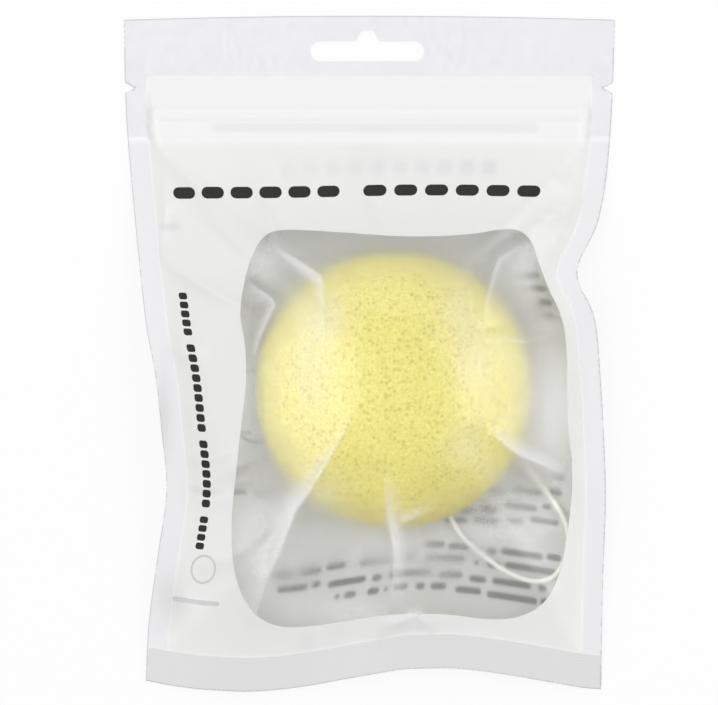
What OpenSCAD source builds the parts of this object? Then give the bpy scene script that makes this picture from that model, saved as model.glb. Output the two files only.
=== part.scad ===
// A konjac face sponge in its retail pouch, lying on its back.
// X runs across the pouch, Y from its bottom seal to its header, Z up from the table.

/* [Pouch] */
// Width of the pouch, flat
pouch_w = 130; // [118:1:150]
// Length of the filled pouch as it lies
pouch_l = 178.7; // [170:0.1:200]
// Thickness of one film web
film_t = 0.12; // [0.08:0.01:0.2]
// Width of each side seal
side_seal_w = 5.5; // [4:0.1:7]
// Height of the crimped bottom seal
bottom_seal_h = 9.2; // [6:0.1:12]
// Height of the sealed header
header_h = 16; // [14:0.1:22]
// How far the front film swells above a straight line from the sponge to the seals
film_puff = 2; // [0.5:0.1:3]
// Unsealed film between the header seal and the zip
mouth_h = 8.9; // [7:0.1:12]

/* [Window] */
// Width of the clear window
window_w = 89.4; // [80:0.1:95]
// Length of the clear window
window_l = 104.7; // [95:0.1:110]
// Sideways offset of the window from the pouch's centre line
window_x = 8.5; // [6:0.1:9]
// Height of the window's middle above the pouch's bottom edge
window_up = 69.6; // [67:0.1:73]

/* [Hang slot] */
// Overall width of the slot
slot_w = 30.2; // [26:0.1:34]
// Height of the slot
slot_h = 5.3; // [4.5:0.1:6.5]
// Width at the foot of the hump that centres the pouch on a peg
hump_w = 6.4; // [5:0.1:8]
// Width across the top of the hump
hump_top_w = 2.9; // [2:0.1:4]
// Height of the hump above the slot
hump_h = 2.8; // [2:0.1:3.5]
// Distance from the pouch's top edge down to the slot's centre line
slot_drop = 9.4; // [8:0.1:10]
// Sideways offset of the slot from the pouch's centre line
slot_x = -0.6; // [-2:0.1:2]

/* [Tear notches] */
// Depth of each notch
notch_depth = 2.6; // [1.5:0.1:3.5]
// Height of each notch at the film's edge
notch_h = 2.9; // [2:0.1:4]
// Distance from the pouch's top edge down to the notches
notch_drop = 19.1; // [18:0.1:22]

/* [Zip] */
// Height of the flanges that are welded to the films
zip_flange_h = 8; // [6:0.1:12]
// Thickness of each flange
zip_flange_t = 0.2; // [0.15:0.01:0.3]
// Height of the groove's jaws above their flange
jaw_h = 1.25; // [1.1:0.01:1.5]
// Thickness of each jaw
jaw_t = 0.45; // [0.35:0.01:0.6]
// Clear width between the jaws
jaw_gap = 1.1; // [1:0.01:1.4]
// How far each jaw's lip hooks inwards
lip_in = 0.25; // [0.2:0.01:0.3]
// Height of the lips
lip_h = 0.35; // [0.25:0.01:0.4]
// Width of the rib's stem
stem_w = 0.4; // [0.3:0.01:0.45]
// Width of the rib's arrow head
head_w = 0.9; // [0.8:0.01:0.95]
// Height of the rib's arrow head
head_h = 0.5; // [0.4:0.01:0.55]
// Distance from the flanges' upper edge down to the rib
rib_drop = 1.8; // [1.5:0.1:3]
// Length at each end over which the profile is crushed flat
crush_l = 6; // [3:0.5:8]
// Gap between the side seals and the ends of the zip
zip_end_gap = 2; // [1:0.5:5]

/* [Sponge] */
// Diameter of the sponge
sponge_d = 73; // [66:0.5:76]
// Height of the sponge, flat face to crown
sponge_h = 26; // [22:0.5:28]
// Height of its widest place above the flat face
belly_h = 6; // [4:0.5:8]
// Radius by which the flat face is smaller than the widest place
flat_inset = 5; // [3:0.5:8]
// Place of the sponge's axis across the pouch
sponge_x = 6.3; // [3:0.1:7]
// Height of the sponge's axis above the pouch's bottom edge
sponge_up = 79.9; // [77:0.1:83]
// Diameter of the hole that holds the knot
hole_d = 5; // [4.8:0.1:6]
// Depth of the hole
hole_depth = 12; // [11:0.1:15]
// Depth of the hole's flared mouth
mouth_flare = 3; // [2:0.1:4]

/* [Cord] */
// Diameter of the cotton cord
cord_d = 1.2; // [1:0.1:1.4]
// Diameter of the knot
knot_d = 4.4; // [4:0.1:4.6]
// Height of the knot's underside above the sponge's flat face
knot_rise = 6.8; // [6:0.1:7.5]

/* [Clearances] */
// Gap between the crown of the sponge and the film that lies on it
drape_gap = 0.4; // [0.3:0.05:0.8]
// Gap between the sponge's flat face and the film under it
seat_gap = 0.1; // [0.05:0.01:0.3]
// Running gap between the zip's rib strip and its jaws
zip_gap = 0.05; // [0.03:0.01:0.1]
// Gap between the cord and the sponge round it
cord_gap = 0.3; // [0.2:0.05:0.4]
// Gap between the cord and the level of the sponge's flat face
cord_lift = 0.2; // [0.1:0.05:0.3]

/* [Hidden] */
round_fn = 96;
cut_over = 5;   // how far every cut runs past what it cuts
tiny = 0.001;   // a share too small to matter

half_w = pouch_w / 2;
half_l = pouch_l / 2;

// The filled pouch draws its edges in. Each row is a place along the edge and the edge's own place there,
// both as shares of the half width or the half length.
left_edge_shares = [[-1, -0.912], [-0.8, -0.898], [-0.6, -0.86], [-0.4, -0.822], [-0.22, -0.843],
                    [-0.06, -0.868], [0.08, -0.905], [0.25, -0.932], [0.5, -0.968], [0.72, -0.992], [1, -1]];
right_edge_shares = [[-1, 0.943], [-0.7, 0.948], [-0.42, 0.959], [-0.2, 0.948], [0, 0.93], [0.06, 0.922],
                     [0.11, 0.909], [0.15, 0.888], [0.19, 0.857], [0.235, 0.841], [0.28, 0.855],
                     [0.33, 0.892], [0.38, 0.924], [0.45, 0.948], [0.55, 0.969], [0.72, 0.987], [1, 1]];
// Along the bottom the first number is the share of the way across, and the second how far the
// edge is drawn up.
bottom_edge_shares = [[0, 0.031], [0.05, 0.018], [0.1, 0.009], [0.15, 0.004], [0.22, 0], [0.29, 0.006],
                      [0.36, 0.019], [0.43, 0.037], [0.5, 0.055], [0.56, 0.069], [0.62, 0.073],
                      [0.68, 0.072], [0.75, 0.061], [0.82, 0.046], [0.9, 0.026], [0.96, 0.011], [1, 0.005]];
top_crown_share = 0.012;   // how far the top edge's corners lie below its middle

// How high the seals lift off the table, as shares of the sponge's height. The side seals' places run
// from the bottom edge to the zip, and the bottom seal's across the pouch.
left_lift_shares = [[0, 0], [0.12, 0.06], [0.37, 0.27], [0.55, 0.27], [0.77, 0.15], [0.95, 0.01], [1, 0]];
right_lift_shares = [[0, 0], [0.15, 0.06], [0.37, 0.15], [0.61, 0.2], [0.76, 0.27], [0.86, 0.12],
                     [0.95, 0.01], [1, 0]];
bottom_lift_shares = [[0, 0], [0.15, 0.08], [0.35, 0.1], [0.6, 0.27], [0.8, 0.16], [1, 0]];

// The window's outline from its upper left corner, clockwise, as shares of its half sizes.
window_shares = [[-0.8, 0.965], [-0.7, 0.993], [-0.52, 0.99], [-0.3, 0.978], [-0.04, 0.963], [0.2, 0.962],
                 [0.42, 0.975], [0.6, 0.998], [0.7, 0.985], [0.765, 0.925], [0.8, 0.83], [0.865, 0.69],
                 [0.935, 0.56], [0.965, 0.41], [0.97, 0.22], [0.975, 0.02], [0.998, -0.18], [0.995, -0.36],
                 [0.965, -0.56], [0.92, -0.74], [0.83, -0.875], [0.68, -0.945], [0.5, -0.955], [0.3, -0.932],
                 [0.1, -0.925], [-0.12, -0.935], [-0.38, -0.972], [-0.58, -0.995], [-0.73, -0.99],
                 [-0.855, -0.935], [-0.945, -0.82], [-0.99, -0.66], [-0.998, -0.45], [-0.97, -0.22],
                 [-0.94, 0.02], [-0.912, 0.24], [-0.918, 0.42], [-0.945, 0.57], [-0.925, 0.72],
                 [-0.875, 0.87]];
window_steps = 2;   // pieces between two points of the outline

// The loop's plan and height from the sponge's axis and its flat face, from the knot out and back to
// the knot.
cord_points = [[0.9, -0.5, 6.8], [0.9, -0.5, 5.4], [1, -0.6, 3.4], [1.8, -1, 1.8], [3.2, -1.8, 1],
               [6, -3.4, 0.8], [14, -8, 0.8], [23, -13.1, 0.8], [32, -18.2, 0.9], [36.5, -22.2, 1.3],
               [41.2, -28, 2.4], [44.6, -33.5, 3.6], [46, -38.5, 4.2], [45.6, -43.3, 3.9], [44, -47.3, 4],
               [41.2, -49.9, 4.4], [37, -50.6, 4.8], [32.5, -49.4, 4.4], [27.4, -46.6, 3.4],
               [22.2, -42.6, 2.2], [18.1, -38.7, 1.4], [15.5, -34.6, 1], [13.2, -29.6, 0.8],
               [9.4, -21.1, 0.8], [5.6, -12.6, 0.8], [2.7, -6.1, 0.8], [1.4, -3.3, 1], [0.7, -1.9, 1.8],
               [0.3, -1.1, 3.4], [0.3, -1, 5.4], [0.3, -1, 6.8]];
cord_angle_out = -30;    // direction in which the loop leaves under the sponge
cord_angle_back = -66;   // direction from which it comes back
cord_sides = 8;
cord_steps = 2;          // rings for each of the route's points

// Heights above the table of what is stacked in the pouch.
seat_z = film_t + seat_gap;
zip_floor_z = film_t + zip_flange_t;
rib_flange_z = zip_floor_z + jaw_h + zip_gap;
zip_top_z = rib_flange_z + zip_flange_t;
cord_z = seat_z + cord_lift + cord_d / 2;

// Places along the pouch.
header_y = half_l - header_h;
zip_top_y = header_y - mouth_h;
zip_bottom_y = zip_top_y - zip_flange_h;
rib_y = zip_top_y - rib_drop;
notch_y = half_l - notch_drop;
slot_y = half_l - slot_drop;
window_y = window_up - half_l;
sponge_y = sponge_up - half_l;

function mix(a, b, k) = a + (b - a) * k;
function clamp(v, low, high) = min(max(v, low), high);

// A smooth curve through a table of [place, value] rows.
function span_of(table, v, i = 0) = i >= len(table) - 2 || v < table[i + 1][0] ? i : span_of(table, v, i + 1);
function slope_at(table, i) =
    let (a = max(i - 1, 0), b = min(i + 1, len(table) - 1))
    (table[b][1] - table[a][1]) / (table[b][0] - table[a][0]);
function curve(table, v) =
    let (i = span_of(table, v), h = table[i + 1][0] - table[i][0], u = (v - table[i][0]) / h)
    (2 * u^3 - 3 * u^2 + 1) * table[i][1] + (u^3 - 2 * u^2 + u) * h * slope_at(table, i)
    + (3 * u^2 - 2 * u^3) * table[i + 1][1] + (u^3 - u^2) * h * slope_at(table, i + 1);

// The pouch's outline.
function left_x(y) = half_w * curve(left_edge_shares, y / half_l);
function right_x(y) = half_w * curve(right_edge_shares, y / half_l);
function bottom_y(across) = -half_l + half_l * curve(bottom_edge_shares, across);
function top_y(across) = half_l * (1 - top_crown_share * (2 * across - 1)^2);

// A place on the film is [a, b]. a runs from -1 to 0 over the left seal, 0 to 1 over the panel and 1 to 2
// over the right seal. b runs from -1 to 0 over the bottom seal, 0 to 1 up to the zip, 1 to 2 over the
// zip, 2 to 3 up to the header and 3 to 4 over the header.
function across_of(a) =
    let (k = side_seal_w / pouch_w)
    a < 0 ? (1 + a) * k : a > 1 ? 1 - (2 - a) * k : k + a * (1 - 2 * k);
function plan_y(a, b) =
    let (across = across_of(a), low = bottom_y(across), inner = low + bottom_seal_h)
    b < 0 ? mix(low, inner, 1 + b)
    : b < 1 ? mix(inner, zip_bottom_y, b)
    : b < 2 ? mix(zip_bottom_y, zip_top_y, b - 1)
    : b < 3 ? mix(zip_top_y, header_y, b - 2)
    : mix(header_y, top_y(across), b - 3);
function plan_x(a, y) =
    let (low = left_x(y) + side_seal_w, high = right_x(y) - side_seal_w)
    a < 0 ? low + a * side_seal_w : a > 1 ? high + (a - 1) * side_seal_w : mix(low, high, a);
function plan(a, b) = let (y = plan_y(a, b)) [plan_x(a, y), y];

// The surface on which the two films meet at the seals.
function seal_z(a, b) =
    let (y = plan(a, b)[1], k = clamp((y + half_l) / (zip_bottom_y + half_l), 0, 1),
         inside = clamp(a, 0, 1), up = clamp(b, 0, 1))
    film_t + sponge_h * (max(0, mix(curve(left_lift_shares, k), curve(right_lift_shares, k), inside))
                         + (1 - up) * max(0, curve(bottom_lift_shares, across_of(a))));

// Over the zip the front film stands on the rib strip and comes down to the side seals.
function zip_z(a, b) =
    let (away = min(a, 1 - a))
    away <= 0 ? seal_z(a, b) : mix(seal_z(a, b), zip_top_z, min(1, away / ramp_share));
panel_at_zip = right_x(zip_bottom_y) - left_x(zip_bottom_y) - 2 * side_seal_w;
ramp_share = (zip_end_gap - film_t) / panel_at_zip;

// The panel's place under the sponge's axis.
axis_a = (sponge_x - left_x(sponge_y) - side_seal_w)
    / (right_x(sponge_y) - left_x(sponge_y) - 2 * side_seal_w);
inner_y = bottom_y(across_of(axis_a)) + bottom_seal_h;
axis_b = (sponge_y - inner_y) / (zip_bottom_y - inner_y);

// Where the line from the axis through [a, b] meets the edge of the open panel.
function edge_place(a, b) =
    let (da = a - axis_a, db = b - axis_b,
         reach = max(da > 0 ? da / (1 - axis_a) : -da / axis_a, db > 0 ? db / (1 - axis_b) : -db / axis_b))
    reach < tiny ? [axis_a, 0] : [axis_a + da / reach, axis_b + db / reach];
function from_axis(p) = norm([p[0] - sponge_x, p[1] - sponge_y]);

// The film over the sponge: it lies on the dome as far as the tangent to its edge, and runs from there to
// the seal with a slight swell, whose shape k^2 (1 - k) is 4 / 27 high at its highest.
dome_a = sponge_d / 2 + drape_gap;
dome_b = sponge_h - belly_h + drape_gap;
dome_z = seat_z + belly_h;
function over_dome(r, edge_r, edge_z) =
    let (flat = (edge_z - dome_z) * dome_a / dome_b, far = norm([edge_r, flat]),
         turn = atan2(flat, edge_r) + acos(min(1, dome_a / far)),
         touch_r = dome_a * cos(turn), touch_z = dome_z + dome_b * sin(turn))
    r <= touch_r ? dome_z + dome_b * sqrt(max(0, 1 - (r / dome_a)^2))
    : let (k = min(1, (r - touch_r) / (edge_r - touch_r)))
        mix(touch_z, edge_z, k) + film_puff * 27 / 4 * k^2 * (1 - k);
// The film under it: flat beneath the sponge, and rising to its edge.
flat_reach_share = 0.6;   // how far out under the rounded rim the film stays flat
back_rise_power = 2.5;    // the higher, the nearer to the seals the back film rises
flat_r = sponge_d / 2 - flat_inset + flat_reach_share * flat_inset;
function under_flat(r, edge_r, edge_z) =
    film_t + (edge_z - film_t) * pow(clamp((r - flat_r) / (edge_r - flat_r), 0, 1), back_rise_power);

function front_z(a, b) =
    a <= 0 || a >= 1 || b <= 0 ? seal_z(a, b)
    : b < 1 ? let (e = edge_place(a, b), edge_z = e[1] > 1 - tiny ? zip_z(e[0], 1) : seal_z(e[0], e[1]))
        over_dome(from_axis(plan(a, b)), from_axis(plan(e[0], e[1])), edge_z)
    : b <= 2 ? zip_z(a, b)
    : b < 3 ? mix(zip_z(a, b), seal_z(a, b), b - 2)
    : seal_z(a, b);
function back_z(a, b) =
    a <= 0 || a >= 1 || b <= 0 || b >= 1 ? seal_z(a, b)
    : let (e = edge_place(a, b))
        under_flat(from_axis(plan(a, b)), from_axis(plan(e[0], e[1])), seal_z(e[0], e[1]));

// The grid of places on both films.
panel_cols = 28;
panel_rows = 28;
cols = [-1, 0, for (i = [0:panel_cols]) mix(ramp_share, 1 - ramp_share, i / panel_cols), 1, 2];
rows = [-1, -0.5, for (i = [0:panel_rows]) i / panel_rows, 2, 2.5, 3, 4];

// A film web: a sheet whose underside has the given heights.
module web(heights) {
    n = len(cols);
    under = [for (i = [0:len(rows) - 1], j = [0:n - 1])
        let (p = plan(cols[j], rows[i])) [p[0], p[1], heights[i][j]]];
    over = [for (p = under) p + [0, 0, film_t]];
    top = len(under);
    last = len(rows) - 1;
    polyhedron(
        points = concat(under, over),
        faces = [
            for (i = [0:last - 1], j = [0:n - 2]) let (k = i * n + j) each [
                [top + k, top + k + n, top + k + n + 1], [top + k, top + k + n + 1, top + k + 1],
                [k, k + n + 1, k + n], [k, k + 1, k + n + 1]],
            for (j = [0:n - 2]) each [
                [j, top + j, top + j + 1], [j, top + j + 1, j + 1],
                [last * n + j, top + last * n + j + 1, top + last * n + j],
                [last * n + j, last * n + j + 1, top + last * n + j + 1]],
            for (i = [0:last - 1]) let (k = i * n, m = i * n + n - 1) each [
                [k, top + k + n, top + k], [k, k + n, top + k + n],
                [m, top + m, top + m + n], [m, top + m + n, m + n]]]);
}
front_heights = [for (b = rows) [for (a = cols) front_z(a, b)]];
back_heights = [for (b = rows) [for (a = cols) back_z(a, b) - film_t]];

// A closed smooth line through points.
function bend(p0, p1, p2, p3, u) =
    0.5 * (2 * p1 + (p2 - p0) * u + (2 * p0 - 5 * p1 + 4 * p2 - p3) * u^2
           + (3 * p1 - p0 - 3 * p2 + p3) * u^3);
function closed_line(points, steps) =
    let (n = len(points))
    [for (i = [0:n - 1], k = [0:steps - 1])
        bend(points[(i + n - 1) % n], points[i], points[(i + 1) % n], points[(i + 2) % n], k / steps)];

module window_cutter() {
    outline = [for (p = closed_line(window_shares, window_steps))
        [window_x + p[0] * window_w / 2, window_y + p[1] * window_l / 2]];
    translate([0, 0, -cut_over]) linear_extrude(sponge_h + 2 * cut_over) polygon(outline);
}

// The peg slot: a round-ended slot with a hump in the middle.
module slot_cutter() {
    end_r = slot_h / 2;
    translate([slot_x, slot_y, -cut_over]) linear_extrude(2 * cut_over + film_t) {
        square([slot_w - slot_h, slot_h], center = true);
        for (side = [-1, 1]) translate([side * (slot_w / 2 - end_r), 0]) circle(end_r, $fn = round_fn);
        polygon([[-hump_w / 2, 0], [-hump_w / 2, end_r], [-hump_top_w / 2, end_r + hump_h],
                 [hump_top_w / 2, end_r + hump_h], [hump_w / 2, end_r], [hump_w / 2, 0]]);
    }
}

module notch_cutters() {
    for (side = [-1, 1]) {
        edge_x = side < 0 ? left_x(notch_y) : right_x(notch_y);
        wide = notch_h / 2 * (1 + cut_over / notch_depth);
        translate([0, 0, -cut_over]) linear_extrude(2 * cut_over + film_t)
            polygon([[edge_x - side * notch_depth, notch_y],
                     [edge_x + side * cut_over, notch_y + wide], [edge_x + side * cut_over, notch_y - wide]]);
    }
}

// The printed front web, with the window left out of it.
module front_film() {
    color([0.94, 0.94, 0.95, 0.8]) difference() {
        web(front_heights);
        window_cutter();
        slot_cutter();
        notch_cutters();
    }
}

// The unprinted part of the front web.
module front_window() {
    color([0.8, 0.82, 0.8, 0.35]) intersection() {
        web(front_heights);
        window_cutter();
    }
}

module back_film() {
    color([0.86, 0.87, 0.86, 0.7]) difference() {
        web(back_heights);
        slot_cutter();
        notch_cutters();
    }
}

// Both zip strips are extruded along the pouch's width, and crushed flat at their ends.
zip_left = left_x(zip_bottom_y) + side_seal_w + zip_end_gap;
zip_right = right_x(zip_bottom_y) - side_seal_w - zip_end_gap;
module along_zip(from_x, to_x) {
    translate([from_x, rib_y, 0]) rotate([90, 0, 90]) linear_extrude(to_x - from_x) children();
}
module zip_flange(z) {
    translate([zip_left, zip_bottom_y, z]) cube([zip_right - zip_left, zip_flange_h, zip_flange_t]);
}

module zip_groove_strip() {
    in = jaw_gap / 2;
    color([0.93, 0.94, 0.95, 0.9]) union() {
        zip_flange(film_t);
        along_zip(zip_left + crush_l - zip_gap, zip_right - crush_l + zip_gap)
            for (side = [-1, 1])
                polygon([for (p = [[in, 0], [in, jaw_h - lip_h], [in - lip_in, jaw_h - lip_h / 2],
                                   [in, jaw_h], [in + jaw_t, jaw_h - lip_h / 2], [in + jaw_t, 0]])
                    [side * p[0], zip_floor_z + p[1]]]);
        crushed_jaw_h = jaw_t;
        for (from_x = [zip_left, zip_right - crush_l])
            along_zip(from_x, from_x + crush_l)
                translate([-in - jaw_t, zip_floor_z]) square([2 * (in + jaw_t), crushed_jaw_h]);
    }
}

module zip_rib_strip() {
    rib_h = jaw_h - zip_gap;
    color([0.95, 0.96, 0.97, 0.9]) union() {
        zip_flange(rib_flange_z);
        along_zip(zip_left + crush_l, zip_right - crush_l) translate([0, rib_flange_z])
            polygon([[-stem_w / 2, 0], [-stem_w / 2, head_h - rib_h], [-head_w / 2, head_h - rib_h],
                     [-stem_w / 4, -rib_h], [stem_w / 4, -rib_h], [head_w / 2, head_h - rib_h],
                     [stem_w / 2, head_h - rib_h], [stem_w / 2, 0]]);
        crushed_rib_h = stem_w;
        for (from_x = [zip_left, zip_right - crush_l - zip_gap])
            along_zip(from_x, from_x + crush_l + zip_gap)
                translate([-head_w / 2, rib_flange_z - crushed_rib_h]) square([head_w, crushed_rib_h]);
    }
}

// The moulded puff: a flat face, a rounded belly and a dome.
module sponge() {
    r = sponge_d / 2;
    turns = 12;
    profile = concat(
        [[0, 0], [r - flat_inset, 0]],
        [for (i = [1:turns]) let (t = 90 * i / turns)
            [r - flat_inset + flat_inset * sin(t), belly_h * (1 - cos(t))]],
        [for (i = [1:2 * turns]) let (t = 45 * i / turns)
            [i == 2 * turns ? 0 : r * cos(t), belly_h + (sponge_h - belly_h) * sin(t)]]);
    color([0.95, 0.9, 0.52]) translate([sponge_x, sponge_y, seat_z]) difference() {
        rotate_extrude($fn = round_fn) polygon(profile);
        translate([0, 0, -cut_over]) cylinder(h = cut_over + hole_depth, d = hole_d, $fn = round_fn);
        translate([0, 0, -cut_over])
            cylinder(h = cut_over + mouth_flare, r1 = hole_d / 2 + mouth_flare + cut_over, r2 = hole_d / 2,
                     $fn = round_fn);
        for (turn = [cord_angle_out, cord_angle_back]) rotate([0, 0, turn]) cord_groove();
    }
}

// The channel that the cord presses into the flat face.
module cord_groove() {
    groove_r = cord_d / 2 + cord_gap;
    rise = cord_z - seat_z;
    translate([0, 0, rise]) rotate([0, 90, 0]) cylinder(h = sponge_d, r = groove_r, $fn = round_fn);
    translate([0, -groove_r, -cut_over]) cube([sponge_d, 2 * groove_r, cut_over + rise]);
}

// A round tube along points, with a ring at each.
function unit(v) = v / norm(v);
function open_line(points, steps) =
    let (n = len(points) - 1)
    [for (i = [0:n - 1], k = [0:steps - 1])
        bend(points[max(i - 1, 0)], points[i], points[i + 1], points[min(i + 2, n)], k / steps), points[n]];
function along(line, i) = i == 0 || i == len(line) - 1 ? [0, 0, i == 0 ? -1 : 1]
    : unit(line[i + 1] - line[i - 1]);
function carried(side, ahead) = unit(side - ahead * (side * ahead));
module tube(line, d, sides) {
    n = len(line);
    sideways = [for (i = 0, s = [1, 0, 0]; i < n; i = i + 1,
                     s = i < n ? carried(s, along(line, i)) : s) carried(s, along(line, i))];
    points = [for (i = [0:n - 1], k = [0:sides - 1])
        let (s = sideways[i], c = cross(along(line, i), s), t = 360 * k / sides)
        line[i] + d / 2 * (s * cos(t) + c * sin(t))];
    polyhedron(
        points = points,
        faces = [
            [for (k = [0:sides - 1]) k], [for (k = [sides - 1:-1:0]) (n - 1) * sides + k],
            for (i = [0:n - 2], k = [0:sides - 1])
                let (p = i * sides + k, q = i * sides + (k + 1) % sides)
                each [[p, p + sides, q + sides], [p, q + sides, q]]]);
}

module cord_loop() {
    line = [for (p = open_line(cord_points, cord_steps)) p + [sponge_x, sponge_y, seat_z]];
    color([0.96, 0.95, 0.9]) tube(line, cord_d, cord_sides);
}

// The knot in the hole: a ball with two wraps, flat where the two ends of the cord enter it.
module cord_knot() {
    wrap_r = cord_d / 2;
    color([0.95, 0.94, 0.88]) translate([sponge_x, sponge_y, seat_z + knot_rise]) intersection() {
        translate([0, 0, knot_d / 2 - cord_d / 3]) union() {
            sphere(d = knot_d - cord_d / 2, $fn = round_fn);
            for (tilt = [-20, 20])
                rotate([tilt, tilt, 0]) rotate_extrude($fn = round_fn)
                    translate([knot_d / 2 - wrap_r, 0]) circle(wrap_r, $fn = round_fn);
        }
        translate([-knot_d, -knot_d, 0]) cube([2 * knot_d, 2 * knot_d, 2 * knot_d]);
    }
}

front_film();
front_window();
back_film();
zip_rib_strip();
zip_groove_strip();
sponge();
cord_loop();
cord_knot();
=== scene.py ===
"""A konjac face sponge in its resealable retail pouch, lying on a white table and seen from straight above."""

import math

import bpy
import numpy as np
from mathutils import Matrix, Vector, kdtree, noise
from mathutils.geometry import delaunay_2d_cdt


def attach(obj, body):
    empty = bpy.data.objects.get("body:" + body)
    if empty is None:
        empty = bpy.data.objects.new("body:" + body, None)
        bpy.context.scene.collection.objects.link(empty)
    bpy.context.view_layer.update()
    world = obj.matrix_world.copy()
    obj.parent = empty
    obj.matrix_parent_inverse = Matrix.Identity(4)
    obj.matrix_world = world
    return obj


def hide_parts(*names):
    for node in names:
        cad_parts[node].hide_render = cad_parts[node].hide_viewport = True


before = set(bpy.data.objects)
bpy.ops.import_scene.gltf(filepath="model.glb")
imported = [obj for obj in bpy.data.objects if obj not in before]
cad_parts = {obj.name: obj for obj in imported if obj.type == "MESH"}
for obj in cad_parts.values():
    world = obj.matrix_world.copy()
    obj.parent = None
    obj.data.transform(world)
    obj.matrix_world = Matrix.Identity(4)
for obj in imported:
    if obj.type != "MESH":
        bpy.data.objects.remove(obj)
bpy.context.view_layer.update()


# The room. A white table, three soft boxes to the left, to the right and beyond the header, and a pale room round them.
# The camera hangs a long way above the pouch, as for a catalogue picture.
class Shade:
    """An output of one of a material's nodes. Arithmetic with shades and numbers adds Math nodes."""

    def __init__(self, node, out=0):
        self.node, self.socket = node, node.outputs[out] if node.outputs else None

    @staticmethod
    def add(tree, kind, settings=(), sockets=(), out=0):
        """Adds a node of a kind, makes its settings, and then gives its sockets values or other shades. A ramp's stops
        are rows of (place, colour)."""
        node = tree.nodes.new("ShaderNode" + kind)
        for name, value in dict(settings).items():
            if name == "stops":
                ramp = node.color_ramp.elements
                while len(ramp) < len(value):
                    ramp.new(0.5)
                for element, (place, colour) in zip(ramp, value):
                    element.position, element.color = place, (*colour, 1)
            else:
                setattr(node, name, value)
        for name, value in dict(sockets).items():
            if isinstance(value, Shade):
                tree.links.new(value.socket, node.inputs[name])
            else:
                node.inputs[name].default_value = value
        return Shade(node, out)

    def maths(self, operation, other):
        return Shade.add(self.node.id_data, "Math", {"operation": operation}, {0: self, 1: other})

    def __add__(self, other):
        return self.maths("ADD", other)

    def __mul__(self, other):
        return self.maths("MULTIPLY", other)

    def __sub__(self, other):
        return self.maths("SUBTRACT", other)

    def __rsub__(self, other):
        return self * -1 + other

    __radd__, __rmul__ = __add__, __mul__


def new_finish(name):
    """A material without nodes but its output, and the tree that its nodes go into."""
    finish = bpy.data.materials.new(name)
    finish.use_nodes = True
    finish.node_tree.nodes.clear()
    return finish, finish.node_tree


def show(tree, shader):
    """Joins a shader to the tree's output."""
    Shade.add(tree, "OutputMaterial", sockets={"Surface": shader})


def white_to_eye(tree):
    """1 for what the camera sees straight, in gloss or through film, and 0 for light that falls on a matt surface."""
    seen = Shade.add(tree, "LightPath").node
    straight, gloss, through = (Shade(seen, f"Is {kind} Ray") for kind in ("Camera", "Glossy", "Transmission"))
    return (straight + gloss + through) * Shade(seen, "Diffuse Depth").maths("LESS_THAN", 0.5)


def placed(name, data):
    """A new object in the scene."""
    thing = bpy.data.objects.new(name, data)
    scene.collection.objects.link(thing)
    return thing


scene = bpy.context.scene
scene.view_settings.view_transform = "Standard"
eye_height, seen_width, seen_middle = 1.2, 0.1901, (-0.00278, 0.00024)
sensor_w = 36
eye = placed("eye", bpy.data.cameras.new("eye"))
eye.data.sensor_width = sensor_w
eye.data.lens = sensor_w * eye_height / seen_width
eye.data.clip_end = 10
eye.location = (*seen_middle, eye_height)
scene.camera = eye

world = bpy.data.worlds.new("room")
scene.world = world
world.use_nodes = True
tree = world.node_tree
tree.nodes.clear()
room_light = 0.52
light = Shade.add(tree, "Background", sockets={
    "Color": (1, 1, 1, 1), "Strength": room_light + (1 - room_light) * white_to_eye(tree)})
Shade.add(tree, "OutputWorld", sockets={"Surface": light})

for name, watts, size, place in (
        ("left_soft_box", 2.95, 0.62, (-0.52, 0.0, 0.76)),
        ("right_soft_box", 3.1, 0.56, (0.7, 0.02, 0.66)),
        ("head_soft_box", 1.1, 0.5, (0.05, 0.8, 0.6))):
    lamp = bpy.data.lights.new(name, "AREA")
    lamp.energy, lamp.size = watts, size
    box = placed(name, lamp)
    box.location = place
    box.visible_transmission = False    # the film's own finish lets its light through
    box.rotation_euler = Vector(place).to_track_quat("Z", "Y").to_euler()

bpy.ops.mesh.primitive_plane_add(size=6, location=(0, 0, -0.0002))
table = bpy.context.active_object
table.name = "table"
finish, tree = new_finish("white_table")
matt = Shade.add(tree, "BsdfDiffuse", sockets={"Color": (0.86, 0.86, 0.86, 1)})
glow = Shade.add(tree, "Emission", sockets={"Color": (1, 1, 1, 1)})
show(tree, Shade.add(tree, "MixShader", sockets={0: 0.88 * white_to_eye(tree), 1: matt, 2: glow}))
table.data.materials.append(finish)


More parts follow.
